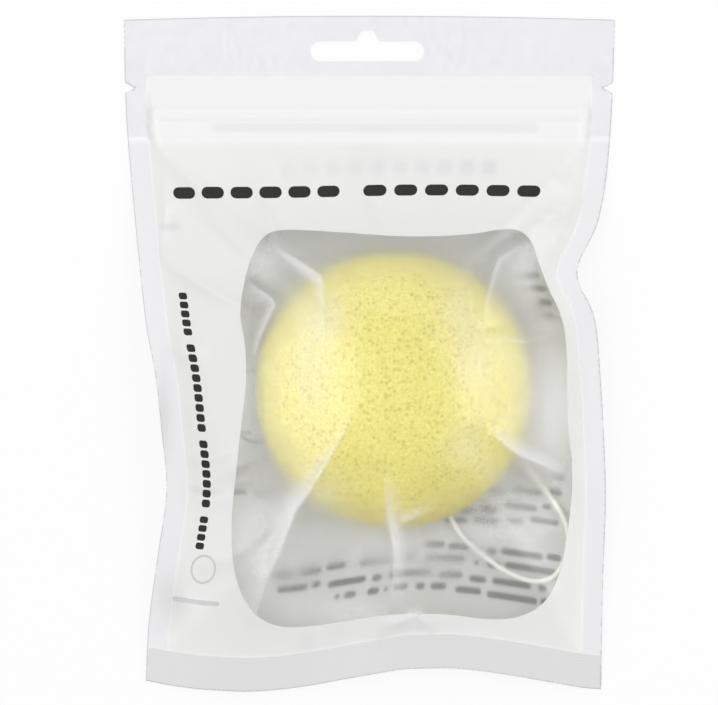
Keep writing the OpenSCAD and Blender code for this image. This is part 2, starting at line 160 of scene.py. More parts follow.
# The cord loop. A limp three-ply cotton cord: both ends come out of the sponge's hole, run along the channels
# pressed into its flat face, and the loop lies in the pouch beside the sponge.
mm = 0.001         # in metres
sponge_x, sponge_y, seat_z = 6.3, -9.45, 0.22
cord_d = 1.2
plies = 3
ply_pitch = 3.2    # length of cord in which a ply goes once round
ply_depth = 0.16   # depth of the furrows between plies, as a share of the radius
cord_route = [
    (0.9, -0.5, 6.8), (0.9, -0.5, 5.4), (1, -0.6, 3.4), (1.8, -1, 1.8), (3.2, -1.8, 1), (6, -3.4, 0.8),
    (14, -8, 0.8), (23, -13.1, 0.8), (32, -18.2, 0.9), (36.5, -22.2, 1.3), (41.2, -28, 2.4), (44.6, -33.5, 3.6),
    (46, -38.5, 4.2), (45.6, -43.3, 3.9), (44, -47.3, 4), (41.2, -49.9, 4.4), (37, -50.6, 4.8), (32.5, -49.4, 4.4),
    (27.4, -46.6, 3.4), (22.2, -42.6, 2.2), (18.1, -38.7, 1.4), (15.5, -34.6, 1), (13.2, -29.6, 0.8),
    (9.4, -21.1, 0.8), (5.6, -12.6, 0.8), (2.7, -6.1, 0.8), (1.4, -3.3, 1), (0.7, -1.9, 1.8), (0.3, -1.1, 3.4),
    (0.3, -1, 5.4), (0.3, -1, 6.8)]


def bent(a, b, c, d, steps):
    """Points on a smooth curve from b to c, where it comes from a and goes on to d."""
    u = (np.arange(steps) / steps)[:, None]
    return 0.5 * (2 * b + (c - a) * u + (2 * a - 5 * b + 4 * c - d) * u**2 + (3 * b - a - 3 * c + d) * u**3)


def run_along(line):
    """How far along a line each of its points lies."""
    return np.r_[0, np.cumsum(np.linalg.norm(np.diff(line, axis=0), axis=1))]


def smooth_line(points, spacing):
    """A smooth line through points, with a point at each spacing along it."""
    p = np.array([points[0], *points, points[-1]], float)
    line = np.vstack([*[bent(*four, 40) for four in zip(p, p[1:], p[2:], p[3:])], p[-1:]])
    run = run_along(line)
    even = np.linspace(0, run[-1], max(2, round(run[-1] / spacing)) + 1)
    return np.stack([np.interp(even, run, line[:, i]) for i in range(3)], axis=1), even


def plied_tube(name, line, run, diameter, sides, closed=False):
    """A tube of twisted plies along a line, in millimetres, closed on itself or with both ends shut."""
    n = len(line)
    ahead = np.roll(line, -1, 0) - np.roll(line, 1, 0)
    if not closed:
        ahead[0], ahead[-1] = line[1] - line[0], line[-1] - line[-2]
    ahead /= np.linalg.norm(ahead, axis=1)[:, None]
    side, rings = np.array([1.0, 0.3, 0]), []
    angle = 2 * math.pi * np.arange(sides) / sides
    for i in range(n):
        side = side - ahead[i] * (side @ ahead[i])
        side /= np.linalg.norm(side)
        up = np.cross(ahead[i], side)
        lobes = np.abs(np.cos(plies / 2 * (angle - 2 * math.pi * run[i] / ply_pitch)))
        r = diameter / 2 * (1 - ply_depth * (1 - lobes) ** 1.5)
        rings.append(line[i] + r[:, None] * (np.cos(angle)[:, None] * side + np.sin(angle)[:, None] * up))
    k = np.arange(sides)
    faces = [(i * sides + a, i * sides + b, j * sides + b, j * sides + a)
             for i in range(n if closed else n - 1) for j in [(i + 1) % n] for a, b in zip(k, np.roll(k, -1))]
    if not closed:
        faces += [tuple(k[::-1]), tuple((n - 1) * sides + k)]
    mesh = bpy.data.meshes.new(name)
    mesh.from_pydata((np.vstack(rings) * mm).tolist(), [], [tuple(int(v) for v in f) for f in faces])
    mesh.shade_smooth()
    return placed(name, mesh)


def mixed_colour(tree, share, a, b):
    """From colour a to colour b by a share."""
    return Shade.add(tree, "Mix", {"data_type": "RGBA"}, {0: share, 6: a, 7: b}, out=2)


def object_place(tree):
    """Where a point lies in its object's own coordinates, in metres."""
    return Shade.add(tree, "TexCoord", out="Object")


def grain_of(tree, scale, detail, roughness=0.5, place=None):
    """Soft noise between 0 and 1, whose largest patches are about 1 / scale metres across."""
    return Shade.add(tree, "TexNoise", sockets={
        "Vector": place or object_place(tree), "Scale": scale, "Detail": detail, "Roughness": roughness})


def relief_of(tree, height, strength, depth):
    """Slopes for a finish from a height, where 1 stands depth metres above 0."""
    return Shade.add(tree, "Bump", sockets={"Height": height, "Strength": strength, "Distance": depth})


line, run = smooth_line(cord_route, 0.25)
line = line + (sponge_x, sponge_y, seat_z)
cord = plied_tube("cotton_loop", line, run, cord_d, 18)

cotton, tree = new_finish("cotton")
fibre = grain_of(tree, 5200.0, 3.0, 0.6)
tint = mixed_colour(tree, fibre, (0.93, 0.92, 0.86, 1), (0.99, 0.985, 0.95, 1))
relief = relief_of(tree, fibre, 0.5, 0.00006)
show(tree, Shade.add(tree, "BsdfPrincipled", sockets={
    "Base Color": tint, "Roughness": 0.9, "Sheen Weight": 0.25, "Normal": relief}))
cord.data.materials.append(cotton)


# The knot. Both ends of the loop are tied together in one hard overhand knot, which is pushed up into the hole in
# the sponge and holds the loop there.
knot_rise, knot_d, knot_h = 6.8, 4.4, 4.0
turn = np.linspace(0, 2 * math.pi, 180, endpoint=False)
reach = (knot_d - cord_d) / 2
over = np.stack([reach / 3 * (np.sin(turn) + 2 * np.sin(2 * turn)), reach / 3 * (np.cos(turn) - 2 * np.cos(2 * turn)),
                 -(knot_h - cord_d) / 2 * np.sin(3 * turn)], axis=1)
over += (sponge_x, sponge_y, seat_z + knot_rise + knot_h / 2)
knot = plied_tube("cotton_knot", over, run_along(over), cord_d, 14, closed=True)
knot.data.materials.append(cotton)

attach(knot, "sponge")
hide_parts("cord_knot")
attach(cord, "sponge")
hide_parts("cord_loop")


# The sponge. A moulded puff of konjac root fibre, frozen and dried: a flat face, a rounded rim and a dome, with
# fine open pores all over. A hole in the flat face holds the knot, and the cord has pressed two channels into it.
sponge_d, sponge_h, belly_h, flat_inset = 73, 26, 6, 5
hole_d, hole_depth, mouth_flare = 5, 12, 3
groove_d, groove_z, groove_turns = 1.8, 0.8, (-30, -66)
rim_share = 0.4                    # share of the way from the widest place to the flat face's middle that is rim
hole_over, mouth_over = 5, 3       # how far the cutters of the hole and of its mouth run past the flat face
face_size = 0.4                    # of the mesh, near that of the fibres
lumps = ((0.22, 11), (0.07, 1.9))  # heights and widths of the uneven swelling
fuzz_high, fuzz_wide = 0.07, 0.75
pit_count, pit_r, pit_r_more, pit_depth = 5200, 0.28, 0.42, 0.3
bpy.ops.object.select_all(action="DESELECT")
bpy.ops.mesh.primitive_uv_sphere_add(segments=160, ring_count=100, radius=1)
sponge = bpy.context.active_object
sponge.name = "konjac_puff"
for v in sponge.data.vertices:
    turn, rise, r = math.atan2(v.co.y, v.co.x), math.asin(max(-1, min(1, v.co.z))), sponge_d / 2
    low = -rise / (math.pi / 2)
    if rise >= 0:
        out, up = r * math.cos(rise), belly_h + (sponge_h - belly_h) * math.sin(rise)
    elif low < rim_share:
        t = low / rim_share * math.pi / 2
        out, up = r - flat_inset + flat_inset * math.cos(t), belly_h * (1 - math.sin(t))
    else:
        out, up = (r - flat_inset) * (1 - low) / (1 - rim_share), 0
    v.co = (out * math.cos(turn), out * math.sin(turn), up)
bpy.ops.mesh.primitive_cylinder_add(vertices=64, radius=hole_d / 2, depth=hole_depth + hole_over,
                                    location=(0, 0, (hole_depth - hole_over) / 2))
cutters = [bpy.context.active_object]
bpy.ops.mesh.primitive_cone_add(vertices=64, radius1=hole_d / 2 + mouth_flare + mouth_over, radius2=hole_d / 2,
                                depth=mouth_flare + mouth_over, location=(0, 0, (mouth_flare - mouth_over) / 2))
cutters.append(bpy.context.active_object)
for turn in groove_turns:
    t = math.radians(turn)
    bpy.ops.mesh.primitive_cylinder_add(
        vertices=32, radius=groove_d / 2, depth=sponge_d, rotation=(0, math.pi / 2, t),
        location=(sponge_d / 2 * math.cos(t), sponge_d / 2 * math.sin(t), groove_z / 3))
    cutters.append(bpy.context.active_object)
for cutter in cutters:
    cut = sponge.modifiers.new("cut", "BOOLEAN")
    cut.operation, cut.object, cut.solver = "DIFFERENCE", cutter, "EXACT"
even = sponge.modifiers.new("even", "REMESH")
even.mode, even.voxel_size = "VOXEL", face_size
bpy.context.view_layer.objects.active = sponge
bpy.ops.object.select_all(action="DESELECT")
sponge.select_set(True)
for name in [m.name for m in sponge.modifiers]:
    bpy.ops.object.modifier_apply(modifier=name)
for cutter in cutters:
    bpy.data.objects.remove(cutter)

mesh = sponge.data
count = len(mesh.vertices)
at, out = np.empty(count * 3, np.float32), np.empty(count * 3, np.float32)
mesh.vertices.foreach_get("co", at)
mesh.vertices.foreach_get("normal", out)
at, out = at.reshape(-1, 3).astype(float), out.reshape(-1, 3).astype(float)
dice = np.random.default_rng(7)
swell = np.array([sum(high * noise.noise(Vector(p) / wide) for high, wide in lumps) for p in at])
fuzz = np.array([noise.noise(Vector(p) / fuzz_wide) for p in at])
pore = np.zeros(count)
near = kdtree.KDTree(count)
for i, p in enumerate(at):
    near.insert(p, i)
near.balance()
for k in dice.integers(0, count, pit_count):
    size = pit_r + pit_r_more * dice.random() ** 4
    for _, i, far in near.find_range(at[k], size):
        pore[i] = max(pore[i], (1 - (far / size) ** 2) ** 2 * min(1, 0.25 + size))
at += out * (swell + fuzz_high * fuzz - pit_depth * pore)[:, None]
at[:, 2] = np.maximum(at[:, 2], 0.02 * fuzz + 0.02)    # nothing swells down through the flat face
at = (at + (sponge_x, sponge_y, seat_z)) * mm
mesh.vertices.foreach_set("co", at.astype(np.float32).ravel())
mesh.attributes.new("pore", "FLOAT", "POINT").data.foreach_set("value", pore.astype(np.float32))
mesh.shade_smooth()


def attribute(tree, name):
    """What the mesh itself says at a point."""
    return Shade.add(tree, "Attribute", {"attribute_name": name}, out="Fac")


finish, tree = new_finish("konjac")
place = object_place(tree)
depth = attribute(tree, "pore")
# Small open cells between the pits, each of its own size, in a felt of paler fibres. The cells and the pits are
# painted darker, as painted shade inside them.
cells = Shade.add(tree, "TexVoronoi", sockets={"Vector": place, "Scale": 900.0})
any_size = Shade.add(tree, "SeparateColor", sockets={"Color": Shade(cells.node, "Color")})
threads = grain_of(tree, 1350.0, 4.0, 0.6)
fibres = Shade.add(tree, "MapRange", sockets={0: threads, 1: 0.37, 2: 0.58})
patches = grain_of(tree, 130.0, 2.0)
holes = Shade.add(tree, "MapRange", sockets={0: cells - 0.5 * any_size * any_size, 1: -0.12, 2: 0.16, 3: 1.0, 4: 0.0})
# Painted shade: the pits and the open cells are darkened towards a deeper ochre.
dark = Shade.add(tree, "MapRange", sockets={0: depth * 0.3 + holes * 0.6, 4: 0.9})
shade_ochre = (0.66, 0.53, 0.045, 1)
body = mixed_colour(tree, patches, (0.86, 0.735, 0.10, 1), (0.91, 0.79, 0.125, 1))
body = mixed_colour(tree, fibres * 0.8, body, (0.995, 0.92, 0.26, 1))
body = mixed_colour(tree, dark, body, shade_ochre)
# Painted shade: the puff is darker towards its lower end, where less light falls on its flank.
up = Shade.add(tree, "SeparateXYZ", sockets={"Vector": place}, out="Y")
painted_low_shade = Shade.add(tree, "MapRange", sockets={0: up, 1: -0.018, 2: -0.042, 4: 0.38})
body = mixed_colour(tree, painted_low_shade, body, shade_ochre)
relief = relief_of(tree, fibres * 0.5 - holes * 0.8, 0.7, 0.00035)
show(tree, Shade.add(tree, "BsdfPrincipled", sockets={
    "Base Color": body, "Roughness": 0.95, "Specular IOR Level": 0.2, "Normal": relief}))
mesh.materials.append(finish)
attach(sponge, "sponge")
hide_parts("sponge")


# The back web. A milky polyethylene film, printed on its outside with rules, dashes and lines of plain bars. It lies
# flat under the sponge and rises at the rim to the seals that hold it to the front web.
pouch_w, pouch_l, film_t = 130, 178.7, 0.12
under_film = 0.02                  # between the back web and the table's height
side_seal_w, bottom_seal_h, header_h, mouth_h, zip_h = 5.5, 9.2, 16, 8.9, 8
half_w, half_l = pouch_w / 2, pouch_l / 2
header_y = half_l - header_h
zip_top_y = header_y - mouth_h
zip_bottom_y = zip_top_y - zip_h
# Rows of a place along the pouch's side or end, and how far out or up the edge or the seal lies there
left_edge = [(-1, -0.912), (-0.8, -0.898), (-0.6, -0.86), (-0.4, -0.822), (-0.22, -0.843), (-0.06, -0.868),
             (0.08, -0.905), (0.25, -0.932), (0.5, -0.968), (0.72, -0.992), (1, -1)]
right_edge = [(-1, 0.943), (-0.7, 0.948), (-0.42, 0.959), (-0.2, 0.948), (0, 0.93), (0.06, 0.922), (0.11, 0.909),
              (0.15, 0.888), (0.19, 0.857), (0.235, 0.841), (0.28, 0.855), (0.33, 0.892), (0.38, 0.924),
              (0.45, 0.948), (0.55, 0.969), (0.72, 0.987), (1, 1)]
bottom_edge = [(0, 0.031), (0.05, 0.018), (0.1, 0.009), (0.15, 0.004), (0.22, 0), (0.29, 0.006), (0.36, 0.019),
               (0.43, 0.037), (0.5, 0.055), (0.56, 0.069), (0.62, 0.073), (0.68, 0.072), (0.75, 0.061), (0.82, 0.046),
               (0.9, 0.026), (0.96, 0.011), (1, 0.005)]
top_crown = 0.012
left_lift = [(0, 0), (0.12, 0.06), (0.37, 0.27), (0.55, 0.27), (0.77, 0.15), (0.95, 0.01), (1, 0)]
right_lift = [(0, 0), (0.15, 0.06), (0.37, 0.15), (0.61, 0.2), (0.76, 0.27), (0.86, 0.12), (0.95, 0.01), (1, 0)]
bottom_lift = [(0, 0), (0.15, 0.08), (0.35, 0.1), (0.6, 0.27), (0.8, 0.16), (1, 0)]


def curve(table, v):
    """A smooth curve through a table of (place, value) rows."""
    place, value = np.array(table, float).T
    slope = np.gradient(value)
    slope[1:-1] = (value[2:] - value[:-2]) / (place[2:] - place[:-2])
    slope[0] = (value[1] - value[0]) / (place[1] - place[0])
    slope[-1] = (value[-1] - value[-2]) / (place[-1] - place[-2])
    i = np.clip(np.searchsorted(place, v, side="right") - 1, 0, len(place) - 2)
    h = place[i + 1] - place[i]
    u = (v - place[i]) / h
    return ((2 * u**3 - 3 * u**2 + 1) * value[i] + (u**3 - 2 * u**2 + u) * h * slope[i]
            + (3 * u**2 - 2 * u**3) * value[i + 1] + (u**3 - u**2) * h * slope[i + 1])


def mix(a, b, k):
    return a + (b - a) * k


def side_x(table, y):
    """Where a side edge lies at a height on the pouch."""
    return half_w * curve(table, y / half_l)


def across_of(a):
    """The place across the whole film, seals and all, from 0 to 1."""
    k = side_seal_w / pouch_w
    return np.where(a < 0, (1 + a) * k, np.where(a > 1, 1 - (2 - a) * k, k + a * (1 - 2 * k)))


def ends_of(a):
    """The bottom edge, the bottom seal's inner edge and the top edge, at a place across the film."""
    across = across_of(a)
    low = -half_l + half_l * curve(bottom_edge, across)
    return low, low + bottom_seal_h, half_l * (1 - top_crown * (2 * across - 1) ** 2)


def plan(a, b):
    """Where the film's place [a, b] lies, seen from above. Whole numbers are the edges of the seals and the zip."""
    a, b = np.asarray(a, float), np.asarray(b, float)
    low, inner, top = ends_of(a)
    y = np.where(b < 0, mix(low, inner, 1 + b), np.where(b < 1, mix(inner, zip_bottom_y, b), np.where(
        b < 2, mix(zip_bottom_y, zip_top_y, b - 1), np.where(
            b < 3, mix(zip_top_y, header_y, b - 2), mix(header_y, top, b - 3)))))
    left, right = side_x(left_edge, y) + side_seal_w, side_x(right_edge, y) - side_seal_w
    x = np.where(a < 0, left + a * side_seal_w, np.where(a > 1, right + (a - 1) * side_seal_w, mix(left, right, a)))
    return x, y


def film_place(x, y):
    """The film's place [a, b] for a point seen from above."""
    left, right = side_x(left_edge, y) + side_seal_w, side_x(right_edge, y) - side_seal_w
    a = np.where(x < left, (x - left) / side_seal_w, np.where(
        x > right, 1 + (x - right) / side_seal_w, (x - left) / (right - left)))
    a = np.clip(a, -1, 2)
    low, inner, top = ends_of(a)
    b = np.where(y < inner, (y - inner) / bottom_seal_h, np.where(
        y < zip_bottom_y, (y - inner) / (zip_bottom_y - inner), np.where(
            y < zip_top_y, 1 + (y - zip_bottom_y) / zip_h, np.where(
                y < header_y, 2 + (y - zip_top_y) / mouth_h, 3 + (y - header_y) / (top - header_y)))))
    return a, np.clip(b, -1, 4)


def seal_z(a, b):
    """The height at which the two webs meet at the seals."""
    _, y = plan(a, b)
    k = np.clip((y + half_l) / (zip_bottom_y + half_l), 0, 1)
    inside, up = np.clip(a, 0, 1), np.clip(b, 0, 1)
    return film_t + sponge_h * (np.maximum(0, mix(curve(left_lift, k), curve(right_lift, k), inside))
                                + (1 - up) * np.maximum(0, curve(bottom_lift, across_of(a))))


axis_a, axis_b = (float(v) for v in film_place(np.float64(sponge_x), np.float64(sponge_y)))


def edge_place(a, b):
    """Where the line from the sponge's axis through [a, b] meets the edge of the open panel."""
    da, db = a - axis_a, b - axis_b
    reach = np.maximum(np.where(da > 0, da / (1 - axis_a), -da / axis_a),
                       np.where(db > 0, db / (1 - axis_b), -db / axis_b))
    reach = np.maximum(reach, 1e-6)
    return axis_a + da / reach, axis_b + db / reach


def from_axis(x, y):
    return np.hypot(x - sponge_x, y - sponge_y)


def back_z(x, y):
    """The height of the back web's upper side."""
    a, b = film_place(x, y)
    ea, eb = edge_place(a, b)
    edge_z, edge_r, r = seal_z(ea, eb), from_axis(*plan(ea, eb)), from_axis(x, y)
    flat_r = sponge_d / 2 - 0.4 * flat_inset
    rise = np.clip((r - flat_r) / np.maximum(edge_r - flat_r, 1e-6), 0, 1) ** 2.5
    sealed = (a <= 0) | (a >= 1) | (b <= 0) | (b >= 1)
    return np.where(sealed, seal_z(a, b), film_t + (edge_z - film_t) * rise)


def rounded(u, v, length, height, turn=0, corner=0.5):
    """The outline of a bar with rounded corners round a place on the panel, in the film's own millimetres."""
    r = corner * min(length, height)
    outline = []
    for qx, qy, start in ((1, 1, 0), (-1, 1, 90), (-1, -1, 180), (1, -1, 270)):
        for k in range(4):
            t = math.radians(start + 30 * k)
            outline.append((qx * (length / 2 - r) + r * math.cos(t), qy * (height / 2 - r) + r * math.sin(t)))
    # Long sides get points in between, so a bar bends with the film.
    ring = []
    for p, q in zip(outline, outline[1:] + outline[:1]):
        steps = max(1, round(math.dist(p, q) / 1.5))
        ring += [(mix(p[0], q[0], k / steps), mix(p[1], q[1], k / steps)) for k in range(steps)]
    c, s = math.cos(math.radians(turn)), math.sin(math.radians(turn))
    return [(u + x * c - y * s, v + x * s + y * c) for x, y in ring]


panel_w, panel_l = pouch_w - 2 * side_seal_w, 132.0    # the open panel, laid flat


def on_film(outline):
    """Points in the flat film's millimetres, from the panel's middle and its lower edge, seen from above."""
    u, v = np.array(outline).T
    return np.stack(plan(0.5 + u / panel_w, v / panel_l), axis=1)


# The peg slot with its hump, and the tear notches, are punched through both webs.
slot_w, slot_h, hump_w, hump_top_w, hump_h, slot_x = 30.2, 5.3, 6.4, 2.9, 2.8, -0.6
slot_y, notch_y = half_l - 9.4, half_l - 19.1
notch_depth, notch_h = 2.6, 2.9
end_r = slot_h / 2
slot_ring = [(slot_x + side * (slot_w / 2 - end_r) + end_r * math.cos(t), slot_y + end_r * math.sin(t))
             for side, first in ((1, -90), (-1, 90)) for t in np.radians(first + np.arange(0, 181, 12))]
hump = [(hump_w / 2, end_r), (hump_top_w / 2 + 0.25, end_r + hump_h - 0.2), (hump_top_w / 2, end_r + hump_h),
        (-hump_top_w / 2, end_r + hump_h), (-hump_top_w / 2 - 0.25, end_r + hump_h - 0.2), (-hump_w / 2, end_r)]
middle = len(slot_ring) // 2
slot_ring[middle:middle] = [(slot_x + x, slot_y + y) for x, y in hump]


def pouch_outline():
    """The pouch's edge, with the two tear notches in it."""
    turns = np.arange(-1, 2.0001, 0.012)
    ups = np.r_[np.arange(-1, 0, 0.1), np.arange(0, 1, 0.008), np.arange(1, 4.0001, 0.1)]
    sides = []
    for a in (2, -1):
        x, y = plan(np.full(len(ups), float(a)), ups)
        keep = abs(y - notch_y) > notch_h / 2
        inward = -1 if a == 2 else 1
        edge = float(side_x(right_edge if a == 2 else left_edge, notch_y))
        lip = [(edge, notch_y - notch_h / 2), (edge + inward * notch_depth, notch_y), (edge, notch_y + notch_h / 2)]
        side = sorted([*zip(x[keep], y[keep]), lip[0], lip[2]], key=lambda p: p[1])
        side.insert(side.index(lip[2]), lip[1])
        sides.append(side)
    bottom, top = (list(zip(*plan(turns, np.full(len(turns), b)))) for b in (-1.0, 4.0))
    return bottom[1:-1] + sides[0] + top[::-1][1:-1] + sides[1][::-1]


cut_row, ring_gap = 0.32, 0.3    # from the cut edge to the next row of points, and from any ring to the lattice


def web_mesh(columns, rows, regions, more=()):
    """A flat web of triangles inside the pouch's outline, in millimetres, on a lattice of places on the film. regions
    are outlines that it is divided along, and more are points that it also joins. Gives the points, the triangles, for
    each triangle the regions round it, and for each point whether it lies on the cut edge."""
    # Every other row lies half a step further along, but for its points on the edges of the seals.
    between = np.where(np.isin(columns, (-1, 0, 1, 2)), columns, columns + 0.5 * np.diff(columns, append=2))
    lattice = [plan(between if k % 2 else columns, np.full(len(columns), b)) for k, b in enumerate(rows)]
    rings = [np.array(pouch_outline()), np.array(slot_ring), *[np.array(r) for r in regions]]
    # Each ring runs anticlockwise, or the triangles outside it would count as those inside.
    for k, r in enumerate(rings):
        after = np.roll(r, -1, 0)
        if (r[:, 0] * after[:, 1] - r[:, 1] * after[:, 0]).sum() < 0:
            rings[k] = r[::-1]
    # A row of points just inside the edge keeps the painted dark line along the cut edge narrow.
    ahead = np.roll(rings[0], -1, 0) - np.roll(rings[0], 1, 0)
    inward = np.stack([-ahead[:, 1], ahead[:, 0]], axis=1) / np.linalg.norm(ahead, axis=1)[:, None]
    inner = rings[0] + cut_row * inward
    xy = np.vstack([*[np.stack(p, axis=1) for p in lattice], inner, *more])
    near = kdtree.KDTree(sum(len(r) for r in rings))
    for k, p in enumerate(np.vstack(rings)):
        near.insert((*p, 0), k)
    near.balance()
    xy = [p for p in xy if near.find((*p, 0))[2] > ring_gap]
    points, faces = [Vector(p) for p in xy], []
    for ring in rings:
        faces.append(list(range(len(points), len(points) + len(ring))))
        points += [Vector(p) for p in ring]
    points, _, triangles, _, _, inside = delaunay_2d_cdt(points, [], faces, 1, 1e-5, True)
    keep = [k for k, r in enumerate(inside) if 0 in r and 1 not in r]
    points = np.array(points)
    cut = np.array([near.find((*p, 0))[1] < len(rings[0]) and near.find((*p, 0))[2] < 0.01 for p in points], float)
    return points, [triangles[k] for k in keep], [{n - 2 for n in inside[k] if n > 1} for k in keep], cut


def web_piece(name, points, triangles, marks, finishes, sides):
    """A web made from triangles: points in millimetres, attributes for its finish and a finish for each triangle."""
    used = np.unique(np.array(triangles).ravel())
    number = np.full(len(points), -1)
    number[used] = np.arange(len(used))
    mesh = bpy.data.meshes.new(name)
    mesh.from_pydata((points[used] * mm).tolist(), [], number[np.array(triangles)].tolist())
    for mark, values in marks.items():
        mesh.attributes.new(mark, "FLOAT", "POINT").data.foreach_set("value", values[used].astype(np.float32))
    for finish in finishes:
        mesh.materials.append(finish)
    mesh.polygons.foreach_set("material_index", sides)
    piece = placed(name, mesh)
    bpy.ops.object.select_all(action="DESELECT")
    piece.select_set(True)
    bpy.context.view_layer.objects.active = piece
    wall = piece.modifiers.new("wall", "SOLIDIFY")
    wall.thickness, wall.offset = film_t * mm, 1
    bpy.ops.object.modifier_apply(modifier=wall.name)
    bpy.ops.object.shade_smooth_by_angle(angle=math.radians(50))
    return piece


seal_columns = np.array([-1, -0.8, -0.6, -0.4, -0.2, -0.06])
columns = np.r_[seal_columns, np.linspace(0, 1, 96), 1 - seal_columns[::-1]]
rows = np.r_[np.linspace(-1, 0, 40), np.linspace(0, 1, 112)[1:], np.linspace(1, 3, 17)[1:], 3.04, 3.2, 3.4, 3.6, 3.8, 4]
# Lines of bars: how thick and how high up each is, and where its bars start and end, with their rise or fall from it
back_lines = [
    (1.6, 96.9, [(50, 54.6, 0)]), (1.6, 93.4, [(50.5, 55.4, 0)]), (1.6, 89.9, [(51, 55, 0)]),
    (1.4, 86.5, [(50.5, 54.5, 0)]), (1.6, 44.3, [(39, 48, -0.6), (50.2, 53.5, 0)]),
    (1.6, 39.6, [(24, 28.5, -1.6), (30.3, 35.4, -1), (37.5, 46.8, 0), (47.6, 52.8, 0.7)]),
    (1.6, 35.2, [(21, 26.4, -2.4), (28.4, 33.7, -1.6), (35.5, 45.4, 0), (46.9, 49.7, 1)]),
    (1.6, 31.2, [(18, 25, -1.2), (26.5, 33.9, -0.8), (36.5, 41.5, 0), (43.5, 52, 1.1)]),
    (1.5, 41.8, [(-48.5, -41.9, 0), (-39.8, -34.5, 0), (-33, -28.3, 0), (-26, -17, 0)]),
    (1.6, 38.2, [(-26, -14.5, 0)]), (1.6, 34.6, [(-26.5, -20, 0), (-18.5, -13, 0)]),
    (1.7, 109.6, [(-58.6, -52.4, 0)]),
    (1.8, 22.9, [(12.4, 18.7, 0.5), (19.5, 26.1, 0), (28, 29.3, -0.3), (31.2, 34, -0.3), (35.1, 47.8, 0),
                 (48.8, 53.2, 0.4)]),
    (1.8, 19.3, [(-31.7, -25, 1.2), (-24, -17, 1.3), (-15.8, -10, 1.7), (-6, 5.7, 1.4), (6.9, 11, 1.1),
                 (12.4, 24.9, 0.4), (27.6, 28.9, -0.3), (31.5, 35.6, -0.3), (36.6, 51.9, 0.1)]),
    (1.8, 15.4, [(-29.4, -20.5, 1.3), (-19.5, -16.8, 1.6), (-14.8, -3.7, 0.9), (-2, 0.9, 0.6), (2.9, 15.5, 0.7),
                 (17.4, 24.3, 0), (26.4, 31.5, -0.7), (33.2, 44.7, -0.6), (46.8, 49.4, -0.6)]),
    (1.8, 11.9, [(-12.4, -10.9, 0.9), (-9.7, -6.2, 0.8), (-3.1, 0.4, 0.7), (1.8, 3, 0.7), (4.4, 8.7, 0.7),
                 (11, 13.6, 0.5), (15.2, 19.9, 0.4), (22.5, 30.2, -0.4), (31.8, 46.6, -0.8), (47.5, 53, -0.6)])]
back_bars = [rounded((start + end) / 2, v + rise, end - start, min(thick, end - start))
             for thick, v, bars in back_lines for start, end, rise in bars]
# A row of dashes over them, a short rule and a ruled frame
back_bars += [rounded(-21.8 + 6.05 * k, 124.4, 4.7, 4.6) for k in range(10)]
back_bars += [rounded(-41.5, 57.1, 4, 0.9)]
back_bars += [rounded(0, 63.9, 89, 19.2, corner=0.3), rounded(0, 63.9, 87.2, 17.4, corner=0.28)]
regions = [on_film(bar) for bar in back_bars]
points, triangles, inside, cut = web_mesh(columns, rows, regions)
x, y = points.T
a, b = film_place(x, y)
sealed = ((a < -0.01) | (a > 1.01) | (b < -0.01) | (b > 3.01)).astype(float)
z = np.maximum(0, back_z(x, y) - film_t - under_film)
marks = {"seal": sealed, "cut": cut}

milky, tree = new_finish("milky_film")
sealed = attribute(tree, "seal")
cloud = grain_of(tree, 260.0, 3.0)
# Painted shade: the film's grey stands for the shade inside the pouch, and darkens towards the top, under the sponge
# and the zip.
up = Shade.add(tree, "SeparateXYZ", sockets={"Vector": object_place(tree)}, out="Y")
lower_shaded_grey = mixed_colour(tree, cloud, (0.53, 0.535, 0.53, 1), (0.58, 0.585, 0.58, 1))
upper_shaded_grey = mixed_colour(tree, cloud, (0.375, 0.38, 0.36, 1), (0.425, 0.43, 0.41, 1))
tint = mixed_colour(tree, Shade.add(tree, "MapRange", sockets={0: up, 1: -0.065, 2: 0.03}), lower_shaded_grey, upper_shaded_grey)
tint = mixed_colour(tree, sealed, tint, (0.80, 0.80, 0.83, 1))
# Painted shade: a dark line along the cut edge, where light bends in the film's edge.
tint = mixed_colour(tree, attribute(tree, "cut") * 0.7, tint, (0.35, 0.35, 0.36, 1))
relief = relief_of(tree, cloud, 0.25, 0.0004)
show(tree, Shade.add(tree, "BsdfPrincipled", sockets={
    "Base Color": tint, "Roughness": 0.42, "IOR": 1.5, "Normal": relief}))


def new_ink(name, scale, dark, pale, roughness, specular=0.5):
    """A slightly mottled printing ink."""
    finish, tree = new_finish(name)
    tint = mixed_colour(tree, grain_of(tree, scale, 2.0), dark, pale)
    show(tree, Shade.add(tree, "BsdfPrincipled", sockets={
        "Base Color": tint, "Roughness": roughness, "Specular IOR Level": specular}))
    return finish


grey_ink = new_ink("grey_ink", 900.0, (0.08, 0.08, 0.08, 1), (0.13, 0.13, 0.125, 1), 0.5)
back = web_piece("printed_back", np.stack([x, y, z], axis=1), triangles, marks, [milky, grey_ink],
                 [len(r) % 2 for r in inside])
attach(back, "pouch")
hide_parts("back_film")


# The zip. Two strips extruded from polyethylene and welded inside the webs: a rib with an arrow head presses into
# a groove between two hooked jaws. Their ends are crushed flat. Both CAD strips stay, in their own plastic.
finish, tree = new_finish("zip_plastic")
stretched = Shade.add(tree, "Mapping", sockets={"Vector": object_place(tree), "Scale": (0.05, 1, 1)})
drawn = grain_of(tree, 4000.0, 2.0, place=stretched)
relief = relief_of(tree, drawn, 0.3, 0.00003)
tint = mixed_colour(tree, drawn, (0.86, 0.87, 0.88, 1), (0.94, 0.94, 0.95, 1))
show(tree, Shade.add(tree, "BsdfPrincipled", sockets={"Base Color": tint, "Roughness": 0.3, "Normal": relief}))
for name in ("zip_rib_strip", "zip_groove_strip"):
    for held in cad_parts[name].material_slots:
        held.material = finish


